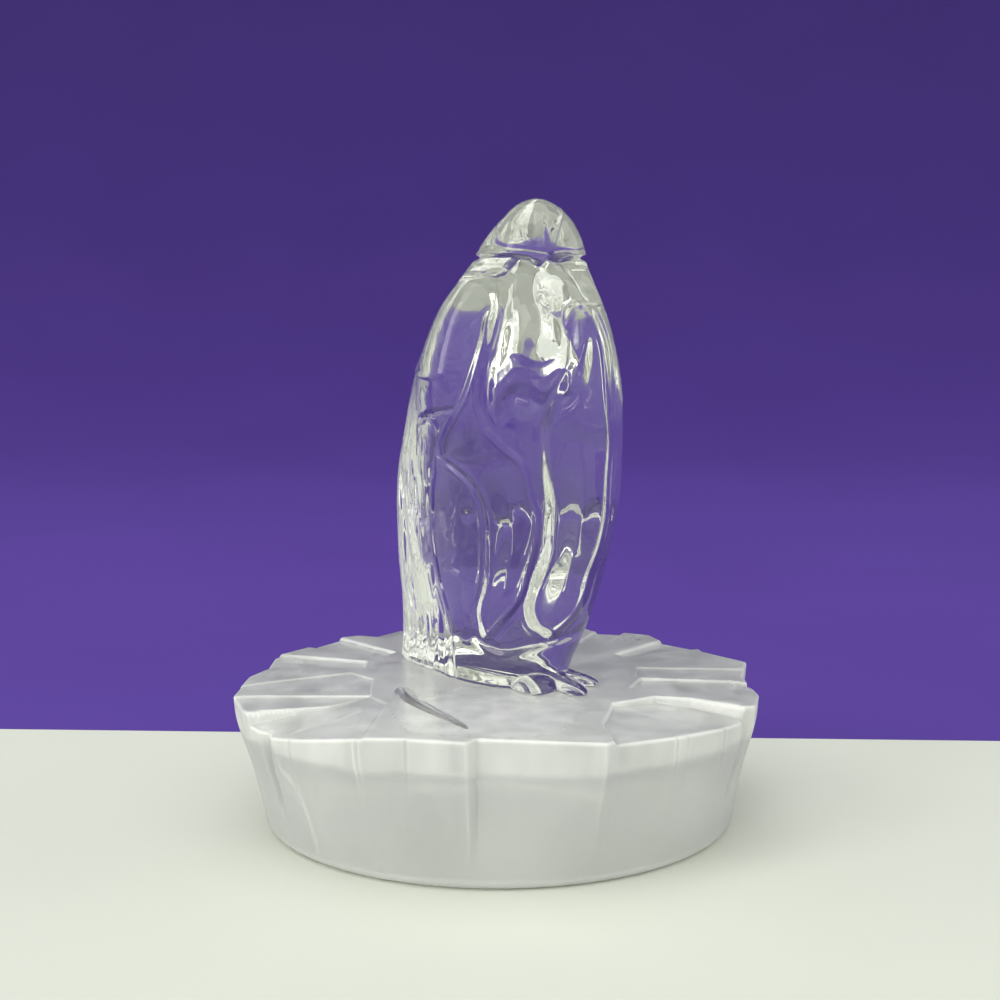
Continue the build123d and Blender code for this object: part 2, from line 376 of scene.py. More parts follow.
    # folded flippers: raised leaves with a thin bead along the edge and a furrow outside it
    far = inside(FAR_FLIPPER)
    near = inside(NEAR_FLIPPER)
    leaf = inside(FLANK_LEAF)
    def crease(d, at, height=0.26, width=0.3):
        return height * gauss(d - at, width)

    far_rise = smoothstep(-1.15, 1.15, far) * 1.45 + 0.5 * smoothstep(1.5, 7.0, far)
    near_rise = smoothstep(-0.95, 0.95, near) * 1.4 + 0.5 * smoothstep(1.5, 6.0, near)
    leaf_rise = smoothstep(-1.0, 1.0, leaf) * 0.8 - 0.4 * smoothstep(1.5, 6.0, leaf)
    dr += front * np.maximum(np.maximum(far_rise, near_rise), leaf_rise)
    dr += front * (crease(far, 1.4) + crease(far, -1.5, 0.16) + crease(near, 1.1) + crease(near, -1.1, 0.16) + crease(leaf, 0.9, 0.16))

    # edge of the back's coat, seen on the viewer's left
    coat, along = beside(COAT_EDGE)
    dr -= front * 0.7 * gauss(coat, 0.6) * smoothstep(0.0, 0.12, along)

    # streaks pressed into the flank beyond that edge, and the ragged mark where they start
    coat_x = np.interp(Z, [30.3, 36.3, 42.9, 51.8, 60.6, 69.3, 75.8, 82.3, 86.0, 88.5], [-10.2, -11.0, -12.0, -14.4, -15.6, -15.3, -14.6, -13.6, -14.9, -17.7])
    flank = front * smoothstep(0.3, -1.2, X - coat_x) * smoothstep(88.0, 84.0, Z)
    dr += flank * (0.40 * value_noise(x / 2.3 + 3, y / 2.3, zz / 10.0, 21) + 0.13 * value_noise(x / 0.9, y / 0.9 + 5, zz / 4.5, 22))
    mark, _ = beside([(-17.0, 86.4), (-15.4, 87.4), (-13.0, 88.3), (-9.6, 88.9)])
    mark = mark + 0.45 * value_noise(x / 0.7, y / 0.7, zz / 0.9, 23)
    dr -= front * 0.5 * gauss(mark, 0.55)

    # beak bowed down on the breast of the hood
    beak_x = np.interp(Z, [119, 122.5, 127, 131, 140], [11.0, 11.2, 11.6, 11.9, 12.0])
    beak_w = np.interp(Z, [119, 122.0, 127, 131, 140], [0.1, 0.5, 1.5, 2.2, 2.4])
    beak = smoothstep(1.25, 0.6, np.abs(X - beak_x) / np.maximum(beak_w, 0.05)) * smoothstep(121.2, 122.6, Z) * smoothstep(132.0, 129.0, Z)
    dr += front * 1.0 * beak

    # lower edge of the flippers' hollow above the feet
    hem, _ = beside([(-10.6, 39.4), (-6.2, 39.8), (-2.5, 37.4), (1.4, 36.2), (6.9, 37.3), (11.9, 38.4), (16.7, 39.8), (21, 41.5)])
    dr -= front * 0.45 * gauss(hem, 1.0)

    # folds in the back, which show through the clear body
    rear = smoothstep(-0.25, -0.6, facing)
    away = rear > 0.01
    for line, width, deep in BACK_FOLDS:
        d = np.full(r.shape, 50.0)
        d[away], _ = line_distance(X[away], Z[away], curve_through(line, 4))
        dr -= rear * deep * gauss(d, width)

    # shoulder blades: fuller to both sides of the upper back, and again lower and further out
    for aims, height, tall, full, keen in (((50.0, 122.0), 107.0, 8.0, 1.8, 6), ((46.0, 130.0), 92.0, 9.0, 1.0, 5)):
        for aim in aims:
            blade = np.cos(th - math.radians(aim))[None, :]
            dr += full * np.clip(blade, 0, 1) ** keen * gauss(zz - height, tall)

    # the back's left corner is streaked, which breaks up the light that it turns back
    corner = smoothstep(-0.2, -0.45, facing) * smoothstep(-4.5, -7.5, x) * smoothstep(33, 38, zz) * smoothstep(88, 80, zz)
    dr += corner * 0.52 * value_noise(x / 2.0 + 9, y / 2.0, zz / 12.0, 24)

    # flat flank between the back and the feet, seen low on the viewer's left
    lean = np.cos(th - math.radians(225.0))[None, :]
    dr -= 1.5 * np.clip(lean, 0, 1) ** 4 * smoothstep(80, 34, zz)
    # the back's right-hand corner stands out a little above the sole
    heel = np.cos(th - math.radians(52.0))[None, :]
    dr += 4.2 * np.clip(heel, 0, 1) ** 7 * smoothstep(54, 40, zz)

    # slight waviness of pressed glass
    wave = value_noise(x / 4.2 + 7, y / 4.2 + 3, zz / 6.0, 11) + 0.5 * value_noise(x / 2.0 + 1, y / 2.0, zz / 2.6 + 5, 12)
    dr += 0.055 * wave

    r = r + dr * smoothstep(0.0, 0.8, s)[:, None]

    # feet and tail: low mounds standing out from the sole
    def mound(cx_, cy_, ax, ay, turn_, height, sharp=2.0):
        """Distance along each direction from the figure's axis to the mound's edge, ring by ring."""
        t = np.clip((z - SOLE) / height, 0, 1)
        shrink = np.clip(1 - t ** sharp, 0, 1) ** (1 / sharp)
        out = np.zeros_like(r)
        ct, st = math.cos(turn_), math.sin(turn_)
        ox = mid_x[:, None] - cx_
        oy = cy[:, None] - cy_
        ux = (c * ct + sn * st) / ax
        uy = (-c * st + sn * ct) / ay
        px = (ox * ct + oy * st) / ax
        py = (-ox * st + oy * ct) / ay
        qa = ux * ux + uy * uy
        qb = 2 * (px * ux + py * uy)
        qc = px * px + py * py - (shrink ** 2)[:, None]
        disc = qb * qb - 4 * qa * qc
        root = np.where(disc > 0, (-qb + np.sqrt(np.maximum(disc, 0))) / (2 * qa), 0)
        return np.where((disc > 0) & (shrink[:, None] > 0), np.maximum(root, 0), 0)

    def join(a_, b_, soft_=0.7):
        h = np.clip(0.5 + 0.5 * (a_ - b_) / soft_, 0, 1)
        return np.where(b_ > 0, b_ * (1 - h) + a_ * h + soft_ * h * (1 - h), a_)

    feet = [
        (7.6, -8.6, 5.4, 9.6, math.radians(6), 3.4),
        (13.4, -9.0, 3.3, 11.0, math.radians(24), 2.3),
        (16.0, -4.6, 3.0, 7.4, math.radians(44), 1.9),
    ]
    for m in feet:
        r = join(r, mound(*m), 0.9)

    # sole's edge is rounded over
    r = r - 0.5 * (1 - smoothstep(0.0, 0.7, z - SOLE))[:, None]

    x = mid_x[:, None] + r * c
    y = cy[:, None] + r * sn
    rings = [np.array([[mid_x[0], cy[0], TOP]])]
    for i in range(1, n_ring):
        rings.append(np.stack([x[i], y[i], zz[i]], 1))
    rings.append(np.array([[mid_x[-1], cy[-1], SOLE]]))
    piece = grid_mesh("penguin_glass", rings)
    finish_mesh(piece)
    return piece


# =================================================================== floe
FLOE_TOP = 30.4
FLOE_EDGE = [   # upper edge, x, y and how far it lies below its plate
    (56.0, 13.5, 0.0), (47.6, 25.0, 0.2), (46.4, 30.2, 0.2), (38.6, 38.0, 0.2), (36.6, 42.8, 0.0),
    (30.4, 46.2, 0.0), (23.2, 48.8, 0.2), (20.6, 52.4, 0.0), (6.0, 54.8, 0.0), (0.5, 52.2, 0.0),
    (-9.5, 53.6, 0.0), (-24.0, 50.2, 0.2), (-29.5, 43.8, 0.4), (-34.2, 43.6, 0.0), (-38.0, 41.6, 0.0),
    (-43.2, 35.4, 0.3), (-44.4, 31.2, 0.0), (-51.6, 21.6, 0.0), (-52.2, 9.0, 0.4), (-54.8, 1.5, 0.2),
    (-55.8, -14.5, 0.1), (-52.6, -24.6, 0.2), (-51.4, -26.6, 0.2), (-46.9, -31.2, 0.2), (-38.6, -41.0, 0.0), (-31.4, -47.4, 0.0),
    (-27.6, -50.4, 0.0), (-18.6, -50.8, 0.0), (-6.0, -53.8, 0.0), (-4.2, -51.2, 0.0),
    (20.6, -54.8, 0.0), (23.0, -51.4, 0.2), (34.6, -44.2, 0.0), (44.6, -35.2, 0.0),
    (50.4, -27.6, 0.2), (52.6, -25.2, 0.2), (55.0, -13.0, 0.2), (53.4, 1.0, 0.2),
]


def build_floe():
    n_turn = 1200
    th = np.arange(n_turn) / n_turn * 2 * math.pi
    pts = np.array(FLOE_EDGE, float)
    ang = np.unwrap(np.arctan2(pts[:, 1], pts[:, 0]))
    # radius of the broken outline in each direction, from its straight edges
    edge_r = np.zeros(n_turn)
    drop = np.zeros(n_turn)
    n = len(pts)
    for i in range(n):
        p0, p1 = pts[i], pts[(i + 1) % n]
        d = p1[:2] - p0[:2]
        denom = np.cos(th) * d[1] - np.sin(th) * d[0]
        with np.errstate(divide="ignore", invalid="ignore"):
            t_r = (p0[0] * d[1] - p0[1] * d[0]) / denom
            u = (np.cos(th) * p0[1] - np.sin(th) * p0[0]) / denom * -1.0
        hit = (u >= -1e-9) & (u <= 1 + 1e-9) & (t_r > 0)
        bigger = hit & (t_r > edge_r)
        edge_r = np.where(bigger, t_r, edge_r)
        drop = np.where(bigger, p0[2] + (p1[2] - p0[2]) * u, drop)
    edge_r = blur(edge_r, 0.8, wrap=True)
    rim = edge_r - 0.5
    drop = drop - face_relief(rim * np.cos(th), rim * np.sin(th), 1.0)
    drop = blur(drop, 0.6, wrap=True)

    def split(t):
        """Splits between slabs: deep above, running out below."""
        out = np.zeros(n_turn)
        for where, deep, wide in (
            (213.2, 1.3, 1.4), (331.5, 1.3, 1.4), (354.0, 0.9, 1.7), (168.0, 0.8, 1.7), (222.0, 0.3, 0.5), (323.0, 0.3, 0.5), (241.5, 0.28, 0.35),
            (250.8, 0.25, 0.35), (265.2, 0.12, 0.6), (308.5, 0.28, 0.35), (311.5, 0.2, 0.35)):
            off = (np.degrees(th) - where + 180) % 360 - 180
            start, full = (0.12, 0.75) if wide > 0.5 else (0.45, 0.95)
            out += deep * gauss(off, wide * (0.35 + 0.65 * t)) * smoothstep(start, full, t)
        return out

    c, sn = np.cos(th), np.sin(th)
    rings = []

    def ring(r, z):
        r = r + 0 * th
        z = z + 0 * th
        return np.stack([r * c, r * sn, z], 1)

    # hollow under the floe
    rings.append(np.array([[0, 0, 19.5]]))
    for r in np.linspace(3, 34.0, 8):
        rings.append(ring(r, 19.5))
    for t in np.linspace(0, 1, 8)[1:]:
        a = t * math.pi / 2 * 0.94
        rings.append(ring(34.5 + 4.2 * math.sin(a), 19.5 - 4.2 * (1 - math.cos(a))))
    for t in np.linspace(0, 1, 8)[1:]:
        rings.append(ring(38.9 + t * (41.6 - 38.9), 15.0 * (1 - t) + 0.8 * t))
    rings.append(ring(42.3, 0.15))
    rings.append(ring(43.0, 0.0))
    rings.append(ring(46.0, 0.0))
    rings.append(ring(48.4, 0.0))
    for t in np.linspace(0, 1, 7)[1:]:
        a = t * math.pi / 2
        rings.append(ring(48.6 + 2.5 * math.sin(a), 2.4 * (1 - math.cos(a))))
    # wall: smooth and round at the foot, broken facets towards the top
    top_z = FLOE_TOP - drop
    share_t = np.linspace(0, 1, 61)
    share_w = blur(np.interp(share_t, [0, 0.155, 0.44, 0.63, 0.745, 0.86, 1], [0, 0.14, 0.41, 0.67, 0.83, 0.95, 1]), 2.0)
    for t, w in zip(share_t[1:], share_w[1:]):
        z = 2.4 + (top_z - 0.6 - 2.4) * t
        rings.append(ring(51.1 * (1 - w) + edge_r * w - split(t), z))
    # rounded upper edge
    edge_r = edge_r - split(1.0)
    for t in np.linspace(0, 1, 6)[1:]:
        a = t * math.pi / 2
        rings.append(ring(edge_r - 0.6 * (1 - math.cos(a)), top_z - 0.6 + 0.6 * math.sin(a)))
    # upper face
    shares = np.concatenate([np.linspace(1, 0.45, 170)[1:], np.linspace(0.45, 0, 26)[1:-1]])
    own = -drop - face_relief(rim * c, rim * sn, 1.0)
    for q in shares:
        r = (edge_r - 0.6) * q
        x, y = r * c, r * sn
        rings.append(np.stack([x, y, np.minimum(FLOE_TOP + face_relief(x, y, q) + own * smoothstep(0.93, 1.0, q), FLOE_TOP)], 1))
    rings.append(np.array([[0, 0, FLOE_TOP]]))
    piece = grid_mesh("ice_floe_satin", rings)
    finish_mesh(piece)
    return piece


# plates of the upper face: outline x, y; how far below the top, and how fast it sinks with distance from the middle
FLAKES = [
    ([(-90, -34), (-51.6, -27.0), (-34.7, -23.2), (-26.9, -17.6), (-23.0, -24), (-26, -50), (-29, -90), (-90, -90)], 0.25, "left"),
    ([(26, -90), (22.0, -51), (20.6, -40), (23.4, -24), (32.6, -18.2), (39.7, -20.0), (45.8, -24.2), (50.2, -26.7), (90, -40), (90, -90)], 0.5, "right"),
    ([(-90, -14.5), (-54.1, -15.6), (-26.9, -16.0), (-26.9, -17.6), (-34.7, -23.2), (-51.6, -27.0), (-90, -34)], 0.75, None),
    ([(-90, -24), (-54.3, -7.0), (-32.7, 4.0), (-27.5, -2), (-27, -15.9), (-54.1, -15.5), (-90, -14.4)], 0.35, None),
    ([(90, -9), (52.6, -4.4), (31, -1.6), (27.9, -10.6), (42.2, -19.4), (50.5, -23.8), (90, -37)], 0.7, None),
    ([(90, 15), (52, 6.4), (40, 7.4), (31, 8.0), (30, -1), (52.6, -4.2), (90, -9)], 0.3, None),
    ([(-90, 5), (-51, 10.6), (-30, 9.0), (-30, 15.5), (-50, 22.5), (-90, 38)], 0.7, None),
    ([(-90, 62), (-42.6, 29.4), (-27, 19), (-24, 25), (-36.6, 39.0), (-60, 66)], 0.8, None),
    ([(60, 36), (47.6, 29.0), (30, 17), (27, 22.6), (38.6, 37.2), (60, 60)], 0.8, None),
    ([(32, 90), (24.6, 50), (19, 35), (24, 31), (30.6, 46.4), (44, 80)], 0.7, None),
    ([(-44, 90), (-23.6, 49.8), (-16, 38.5), (-9, 41), (-9.5, 54.0), (-14, 90)], 0.6, None),
]


def face_relief(x, y, q):
    out = np.zeros_like(x)
    near = smoothstep(0.34, 0.50, q)
    for outline, depth, slant in FLAKES:
        d = region_distance(x, y, np.array(outline, float))
        deep = depth + 0 * x
        if slant == "left":
            deep = deep + np.clip(0.25 * (-x - 28.0), 0, 4.7) * (0.55 + 0.45 * smoothstep(-24, -34, y))
        elif slant == "right":
            deep = deep + np.clip(0.07 * (x - 17.0), 0, 2.0)
        out = np.minimum(out, -deep * smoothstep(-0.3, 0.3, d) * near)
    return out


# ============================================================ adhesive film
def build_film(sole_ring):
    """Thin clear bond line, a little inside the sole's edge."""
    centre = sole_ring.mean(0)
    rings = [np.array([[centre[0], centre[1], 30.42]])]
    for share, z in ((0.5, 30.42), (0.93, 30.42), (0.955, 30.46), (0.96, 30.50), (0.955, 30.55), (0.93, 30.58), (0.5, 30.58)):
        ring = centre + (sole_ring - centre) * share
        ring[:, 2] = z
        rings.append(ring)
    rings.append(np.array([[centre[0], centre[1], 30.58]]))
    piece = grid_mesh("adhesive_bond", rings)
    finish_mesh(piece)
    return piece


# clear run of adhesive from the sole's corner towards the front, x, y
RUN = [(-20.8, -10.9), (-19.8, -15.2), (-17.6, -21.8), (-14.4, -28.2), (-10.8, -34.6), (-7.6, -40.6), (-6.0, -44.2)]


def build_run():
    path = curve_through(RUN, 14)
    n = len(path)
    tangent = np.gradient(path, axis=0)
    tangent /= np.linalg.norm(tangent, axis=1)[:, None]
    side = np.stack([-tangent[:, 1], tangent[:, 0]], 1)
    t = np.linspace(0, 1, n)
    ends = np.sqrt(np.clip(1 - (2 * t - 1) ** 6, 0.02, 1))
    half = ends * np.interp(t, [0, 0.12, 0.45, 1.0], [1.5, 2.1, 1.7, 0.6])
    high = ends * np.interp(t, [0, 0.12, 0.45, 1.0], [0.7, 1.0, 0.7, 0.3])
    lie = FLOE_TOP + face_relief(path[:, 0], path[:, 1], np.hypot(path[:, 0], path[:, 1]) / 54.0) + 0.02
    ang = np.linspace(0, 2 * math.pi, 25)[:-1]
    rings = [np.array([[path[0, 0], path[0, 1], lie[0]]])]
    for i in range(n):
        across = half[i] * np.cos(ang)
        up = np.where(np.sin(ang) > 0, high[i] * np.abs(np.sin(ang)), 0.0)
        xy = path[i] + side[i] * across[:, None]
        rings.append(np.stack([xy[:, 0], xy[:, 1], lie[i] + up], 1))
    rings.append(np.array([[path[-1, 0], path[-1, 1], lie[-1]]]))
    piece = grid_mesh("adhesive_run", rings)
    finish_mesh(piece)
    return piece


# ================================================================ materials
def new_material(name):
    m = bpy.data.materials.new(name)
    m.use_nodes = True
    nt = m.node_tree
    bsdf = next(n for n in nt.nodes if n.type == "BSDF_PRINCIPLED")
    return m, nt, bsdf


def clear_glass():
    m, nt, b = new_material("clear_glass")
    b.inputs["Base Color"].default_value = (0.985, 0.995, 0.985, 1)
    b.inputs["Roughness"].default_value = 0.0
    b.inputs["IOR"].default_value = 1.52
    b.inputs["Transmission Weight"].default_value = 1.0
    coord = nt.nodes.new("ShaderNodeTexCoord")
    noise = nt.nodes.new("ShaderNodeTexNoise")
    noise.inputs["Scale"].default_value = 90.0
    noise.inputs["Detail"].default_value = 1.0
    bump = nt.nodes.new("ShaderNodeBump")
    bump.inputs["Strength"].default_value = 0.05
    bump.inputs["Distance"].default_value = 0.0006
    nt.links.new(coord.outputs["Object"], noise.inputs["Vector"])
    nt.links.new(noise.outputs["Fac"], bump.inputs["Height"])
    nt.links.new(bump.outputs["Normal"], b.inputs["Normal"])
    depth = nt.nodes.new("ShaderNodeVolumeAbsorption")
    depth.inputs["Color"].default_value = (0.76, 0.785, 0.69, 1)
    depth.inputs["Density"].default_value = 5.5
    out = next(n for n in nt.nodes if n.type == "OUTPUT_MATERIAL")
    nt.links.new(depth.outputs["Volume"], out.inputs["Volume"])
    return m


def satin_glass():
    """Etched glass: milky where the floe is solid, greyer where it is a thin wall round the hollow; the solid band's
    extra whiteness is partly painted light, with a painted bright rim along its lower limit, painted highlights on
    sharp edges and painted shade in the splits.
    """
    m, nt, b = new_material("satin_glass")
    b.inputs["IOR"].default_value = 1.5

    def node(kind, **values):
        n = nt.nodes.new(kind)
        for key, v in values.items():
            setattr(n, key, v)
        return n

    def math(op, a_, b_=None, clamp=False):
        n = node("ShaderNodeMath", operation=op, use_clamp=clamp)
        for socket, v in zip(n.inputs, (a_, b_)):
            if v is None:
                continue
            if isinstance(v, (int, float)):
                socket.default_value = v
            else:
                nt.links.new(v, socket)
        return n.outputs[0]

    def step(value, lo, hi, out_lo=0.0, out_hi=1.0):
        n = node("ShaderNodeMapRange", interpolation_type="SMOOTHSTEP")
        n.inputs["From Min"].default_value = lo
        n.inputs["From Max"].default_value = hi
        n.inputs["To Min"].default_value = out_lo
        n.inputs["To Max"].default_value = out_hi
        nt.links.new(value, n.inputs["Value"])
        return n.outputs["Result"]

    coord = node("ShaderNodeTexCoord")
    split = node("ShaderNodeSeparateXYZ")
    nt.links.new(coord.outputs["Object"], split.inputs["Vector"])
    x, y, z = split.outputs

    def noise(scale, detail=3.0):
        n = node("ShaderNodeTexNoise")
        n.inputs["Scale"].default_value = scale
        n.inputs["Detail"].default_value = detail
        nt.links.new(coord.outputs["Object"], n.inputs["Vector"])
        return n.outputs["Fac"]

    cloud = noise(46.0, 4.0)
    blotch = noise(120.0, 2.0)
    # streaks running down the broken wall
    tall = node("ShaderNodeMapping")
    tall.inputs["Scale"].default_value = (1.0, 1.0, 0.22)
    nt.links.new(coord.outputs["Object"], tall.inputs["Vector"])
    streaks = node("ShaderNodeTexNoise")
    streaks.inputs["Scale"].default_value = 190.0
    streaks.inputs["Detail"].default_value = 3.0
    nt.links.new(tall.outputs["Vector"], streaks.inputs["Vector"])
    streak = streaks.outputs["Fac"]
    # painted highlight along sharp edges, painted shade in the splits
    shape = node("ShaderNodeNewGeometry")
    painted_edge_highlight = step(shape.outputs["Pointiness"], 0.503, 0.522)
    painted_split_shade = step(shape.outputs["Pointiness"], 0.497, 0.478)
    # the lower limit of the solid part wavers a little
    level = math("ADD", z, math("MULTIPLY", math("SUBTRACT", blotch, 0.5), 0.0022))
    solid = step(level, 0.0222, 0.0248)
    turned = node("ShaderNodeSeparateXYZ")
    nt.links.new(coord.outputs["Normal"], turned.inputs["Vector"])
    upper = step(turned.outputs["Z"], 0.55, 0.85)        # the upper face and its plates
    # painted light: the solid band is whiter than the upper face, and a painted bright rim runs along its lower limit
    painted_glow = math("MULTIPLY", solid, math("SUBTRACT", 1.0, step(level, 0.0246, 0.0268)))
    milk_and_painted_light = math("MULTIPLY", solid, math("SUBTRACT", 1.0, math("MULTIPLY", upper, 0.8)))
    milk_and_painted_light = math("ADD", milk_and_painted_light, math("MULTIPLY", painted_glow, math("MULTIPLY", blotch, 0.35)), clamp=True)
    weight = math("SUBTRACT", 0.60, math("MULTIPLY", milk_and_painted_light, 0.22))
    weight = math("ADD", weight, math("MULTIPLY", math("SUBTRACT", cloud, 0.5), -0.30), clamp=True)
    weight = math("ADD", weight, math("MULTIPLY", math("MULTIPLY", math("SUBTRACT", streak, 0.5), solid), -0.45), clamp=True)
    weight = math("SUBTRACT", weight, math("MULTIPLY", painted_edge_highlight, 0.14), clamp=True)
    weight = math("ADD", weight, math("MULTIPLY", painted_split_shade, 0.06), clamp=True)

    # a smoother, milkier patch of the upper face in front of the feet
    dx = math("DIVIDE", math("SUBTRACT", x, -0.002), 0.019)
    dy = math("DIVIDE", math("SUBTRACT", y, -0.031), 0.021)
    away = math("ADD", math("MULTIPLY", dx, dx), math("MULTIPLY", dy, dy))
    away = math("ADD", away, math("MULTIPLY", math("SUBTRACT", blotch, 0.5), 1.4))
    clear = math("MULTIPLY", step(away, 1.1, 0.8), upper)
    weight = math("SUBTRACT", weight, math("MULTIPLY", clear, 0.12))
    # the far part of the upper face is a little clearer
    weight = math("ADD", weight, math("MULTIPLY", upper, step(y, 0.0, 0.030, 0.02, 0.12)), clamp=True)
    nt.links.new(weight, b.inputs["Transmission Weight"])

    # base colour is lighter where the band's painted light and its painted bright rim are, and varies with the cloud
    # noise
    ramp = node("ShaderNodeValToRGB")
    ramp.color_ramp.elements[0].position = 0.0
    ramp.color_ramp.elements[0].color = (0.952, 0.958, 0.950, 1)
    ramp.color_ramp.elements[1].position = 1.0
    ramp.color_ramp.elements[1].color = (0.985, 0.995, 0.965, 1)
    nt.links.new(math("ADD", math("MULTIPLY", milk_and_painted_light, 0.7), math("MULTIPLY", cloud, 0.3)), ramp.inputs["Fac"])
    nt.links.new(ramp.outputs["Color"], b.inputs["Base Color"])

    rough = math("SUBTRACT", 0.33, math("MULTIPLY", clear, 0.19))
    rough = math("SUBTRACT", rough, math("MULTIPLY", upper, 0.04))
    rough = math("ADD", rough, math("MULTIPLY", math("SUBTRACT", cloud, 0.5), 0.08))
    nt.links.new(rough, b.inputs["Roughness"])

    grain = noise(2600.0)
    bump = node("ShaderNodeBump")
    bump.inputs["Strength"].default_value = 0.25
    bump.inputs["Distance"].default_value = 0.0001
    nt.links.new(grain, bump.inputs["Height"])
    nt.links.new(bump.outputs["Normal"], b.inputs["Normal"])
    return m


def film_material(name, clear, rough_lo, rough_hi):
    m, nt, b = new_material(name)
    b.inputs["Base Color"].default_value = (0.985, 0.99, 0.975, 1)
    b.inputs["IOR"].default_value = 1.48
    b.inputs["Transmission Weight"].default_value = clear
    coord = nt.nodes.new("ShaderNodeTexCoord")
    noise = nt.nodes.new("ShaderNodeTexNoise")
    noise.inputs["Scale"].default_value = 300.0
    ramp = nt.nodes.new("ShaderNodeMapRange")
    ramp.inputs["To Min"].default_value = rough_lo
    ramp.inputs["To Max"].default_value = rough_hi
    nt.links.new(coord.outputs["Object"], noise.inputs["Vector"])
    nt.links.new(noise.outputs["Fac"], ramp.inputs["Value"])
    nt.links.new(ramp.outputs["Result"], b.inputs["Roughness"])
    return m


def floor_material(name, dark, light, scale=14.0, rough=0.7):
    m, nt, b = new_material(name)
    b.inputs["Roughness"].default_value = rough
    b.inputs["Specular IOR Level"].default_value = 0.2
    coord = nt.nodes.new("ShaderNodeTexCoord")
    noise = nt.nodes.new("ShaderNodeTexNoise")
    noise.inputs["Scale"].default_value = scale
    noise.inputs["Detail"].default_value = 3.0
    ramp = nt.nodes.new("ShaderNodeValToRGB")
    ramp.color_ramp.elements[0].position = 0.35
    ramp.color_ramp.elements[0].color = (*dark, 1)
    ramp.color_ramp.elements[1].position = 0.65
    ramp.color_ramp.elements[1].color = (*light, 1)
    nt.links.new(coord.outputs["Object"], noise.inputs["Vector"])
    nt.links.new(noise.outputs["Fac"], ramp.inputs["Fac"])
    nt.links.new(ramp.outputs["Color"], b.inputs["Base Color"])
    return m


# =================================================================== stage
def sheet(name, points, half_width, material):
    """A sheet swept sideways along a side profile (y, z), in metres."""
    verts, faces = [], []
    for y, z in points:
        verts += [(-half_width, y, z), (half_width, y, z)]
    for i in range(len(points) - 1):
        faces.append((2 * i, 2 * i + 1, 2 * i + 3, 2 * i + 2))
    mesh = bpy.data.meshes.new(name)
    mesh.from_pydata(verts, [], faces)
    mesh.update()
    for poly in mesh.polygons:
        poly.use_smooth = True
    o = bpy.data.objects.new(name, mesh)
    bpy.context.scene.collection.objects.link(o)
    o.data.materials.append(material)
    return o


def build_stage():
    pale = floor_material("pale_floor", (0.655, 0.674, 0.615), (0.67, 0.690, 0.630))
    paper = floor_material("backdrop_painted_shade", (0.092, 0.046, 0.305), (0.097, 0.049, 0.320), 9.0)
    nt = paper.node_tree
    b = next(n for n in nt.nodes if n.type == "BSDF_PRINCIPLED")
    ramp = next(n for n in nt.nodes if n.type == "VALTORGB")
    coord = next(n for n in nt.nodes if n.type == "TEX_COORD")
    # painted shade: the backdrop's colour darkens further back, up the rising sheet
    split = nt.nodes.new("ShaderNodeSeparateXYZ")
    painted_backdrop_shade = nt.nodes.new("ShaderNodeMapRange")
    painted_backdrop_shade.interpolation_type = "SMOOTHSTEP"
    painted_backdrop_shade.inputs["From Min"].default_value = 0.35
    painted_backdrop_shade.inputs["From Max"].default_value = 1.45
    mix = nt.nodes.new("ShaderNodeMix")
    mix.data_type = "RGBA"
    mix.blend_type = "MULTIPLY"
    mix.inputs["B"].default_value = (0.43, 0.35, 0.53, 1)
    nt.links.new(coord.outputs["Object"], split.inputs["Vector"])
    nt.links.new(split.outputs["Y"], painted_backdrop_shade.inputs["Value"])
    nt.links.new(painted_backdrop_shade.outputs["Result"], mix.inputs["Factor"])
    nt.links.new(ramp.outputs["Color"], mix.inputs["A"])
    nt.links.new(mix.outputs["Result"], b.inputs["Base Color"])
    floor = sheet("floor", [(-3.0, 0.0), (-0.3, 0.0), (0.0634, 0.0)], 3.0, pale)
    for v in floor.data.vertices:   # the far edge runs a little askew
        if v.co.y > 0.05:
            v.co.y += -0.0575 * v.co.x
    rise = [(0.02, -0.0015), (0.4, -0.0015), (0.72, -0.0015)]
    for i in range(1, 25):
        a = i / 24 * math.pi / 2
        rise.append((0.72 + 0.68 * math.sin(a), 0.68 * (1 - math.cos(a)) - 0.0015))
    rise.append((1.4, 2.2))
    sheet("backdrop", rise, 2.2, paper)


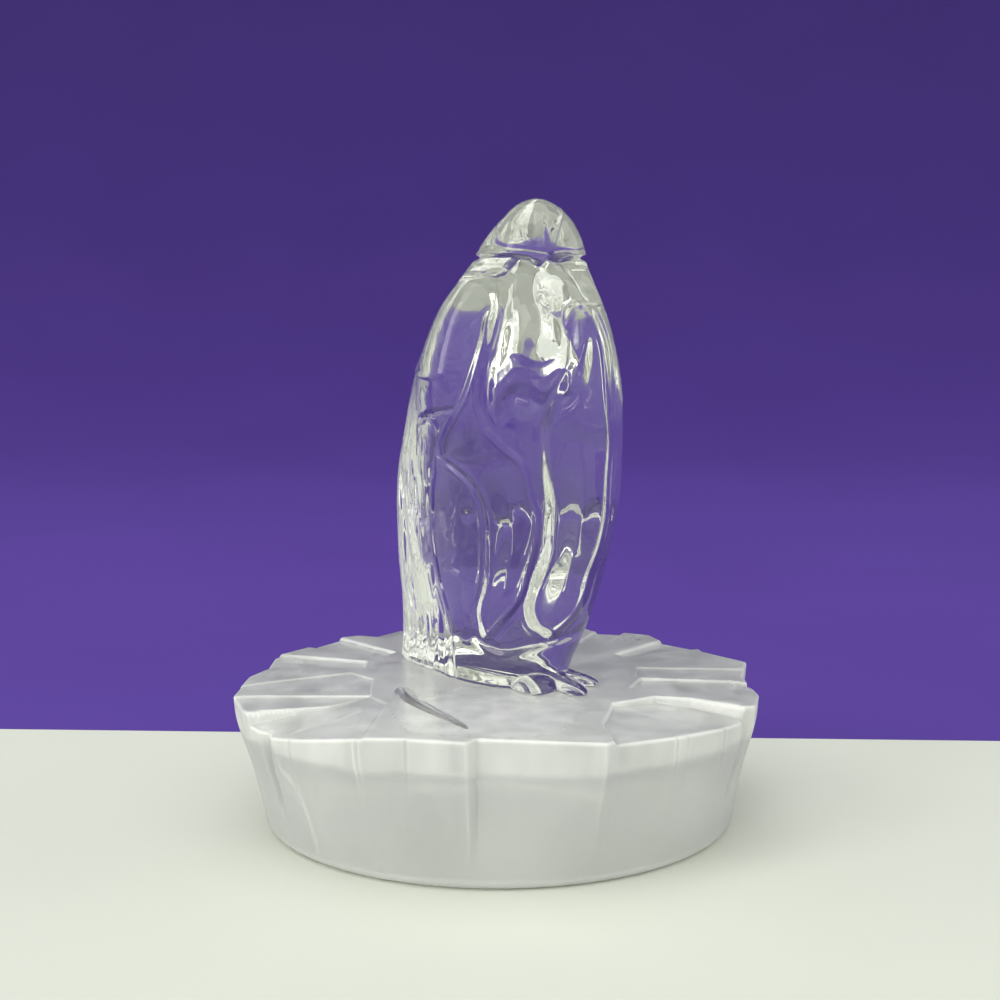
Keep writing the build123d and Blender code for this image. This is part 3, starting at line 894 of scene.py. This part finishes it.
def build_light():
    world = bpy.data.worlds.new("studio")
    bpy.context.scene.world = world
    world.use_nodes = True
    nt = world.node_tree
    background = next(n for n in nt.nodes if n.type == "BACKGROUND")
    coord = nt.nodes.new("ShaderNodeTexCoord")
    split = nt.nodes.new("ShaderNodeSeparateXYZ")
    ramp = nt.nodes.new("ShaderNodeValToRGB")
    ramp.color_ramp.elements[0].position = 0.0
    ramp.color_ramp.elements[0].color = (0.66, 0.68, 0.64, 1)
    ramp.color_ramp.elements[1].position = 1.0
    ramp.color_ramp.elements[1].color = (1.0, 1.02, 0.96, 1)
    mid = ramp.color_ramp.elements.new(0.4)
    mid.color = (0.80, 0.82, 0.78, 1)
    nt.links.new(coord.outputs["Generated"], split.inputs["Vector"])
    nt.links.new(split.outputs["Z"], ramp.inputs["Fac"])
    # darker parts of the room, low down in front and to the right
    shade = ramp.outputs["Color"]
    for aim, lo, hi, tone in (
        ((0.10, -0.985, 0.14), 0.955, 0.985, (0.06, 0.06, 0.07, 1)),
        ((0.77, -0.636, 0.0), 0.80, 0.92, (0.50, 0.51, 0.47, 1)),
    ):
        dot = nt.nodes.new("ShaderNodeVectorMath")
        dot.operation = "DOT_PRODUCT"
        dot.inputs[1].default_value = aim
        near = nt.nodes.new("ShaderNodeMapRange")
        near.interpolation_type = "SMOOTHSTEP"
        near.inputs["From Min"].default_value = lo
        near.inputs["From Max"].default_value = hi
        mix = nt.nodes.new("ShaderNodeMix")
        mix.data_type = "RGBA"
        mix.inputs["B"].default_value = tone
        nt.links.new(coord.outputs["Generated"], dot.inputs[0])
        nt.links.new(dot.outputs["Value"], near.inputs["Value"])
        nt.links.new(near.outputs["Result"], mix.inputs["Factor"])
        nt.links.new(shade, mix.inputs["A"])
        shade = mix.outputs["Result"]
    nt.links.new(shade, background.inputs["Color"])
    background.inputs["Strength"].default_value = 1.28

    def area(name, location, target, size, power, colour=(1, 1, 1)):
        data = bpy.data.lights.new(name, "AREA")
        data.shape = "RECTANGLE"
        data.size, data.size_y = size
        data.energy = power
        data.color = colour
        o = bpy.data.objects.new(name, data)
        bpy.context.scene.collection.objects.link(o)
        o.location = location
        o.rotation_mode = "QUATERNION"
        o.rotation_quaternion = (Vector(target) - Vector(location)).to_track_quat("-Z", "Y")
        return o

    area("overhead_softbox", (-0.25, -0.35, 1.5), (0, 0, 0.05), (1.2, 1.0), 5.0, (1.0, 1.0, 0.97))
    area("side_softbox", (-1.3, -0.9, 0.9), (0, 0, 0.06), (0.7, 0.9), 2.0, (1.0, 0.98, 0.94))
    area("strip_softbox", (-1.24, -0.78, 0.74), (0, 0, 0.10), (0.40, 0.60), 2.5, (1.0, 0.92, 0.84))


scene = bpy.context.scene
scene.view_settings.view_transform = "Standard"
scene.view_settings.look = "None"
scene.cycles.use_denoising = True
scene.cycles.max_bounces = 24
scene.cycles.diffuse_bounces = 10
scene.cycles.glossy_bounces = 16
scene.cycles.transmission_bounces = 24

build_stage()
build_light()

penguin = build_penguin()
penguin.data.materials.append(clear_glass())
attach(penguin, "root")
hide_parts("penguin")

floe = build_floe()
floe.data.materials.append(satin_glass())
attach(floe, "root")
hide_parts("ice_floe_base")

sole = np.array([v.co for v in penguin.data.vertices], float) / MM
low = sole[np.abs(sole[:, 2] - SOLE) < 0.005][:-1]
film = build_film(low[:480].copy())
film.data.materials.append(film_material("clear_adhesive", 0.15, 0.02, 0.10))
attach(film, "root")
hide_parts("adhesive_film")

run = build_run()
run.data.materials.append(film_material("adhesive_run", 0.93, 0.03, 0.09))
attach(run, "root")
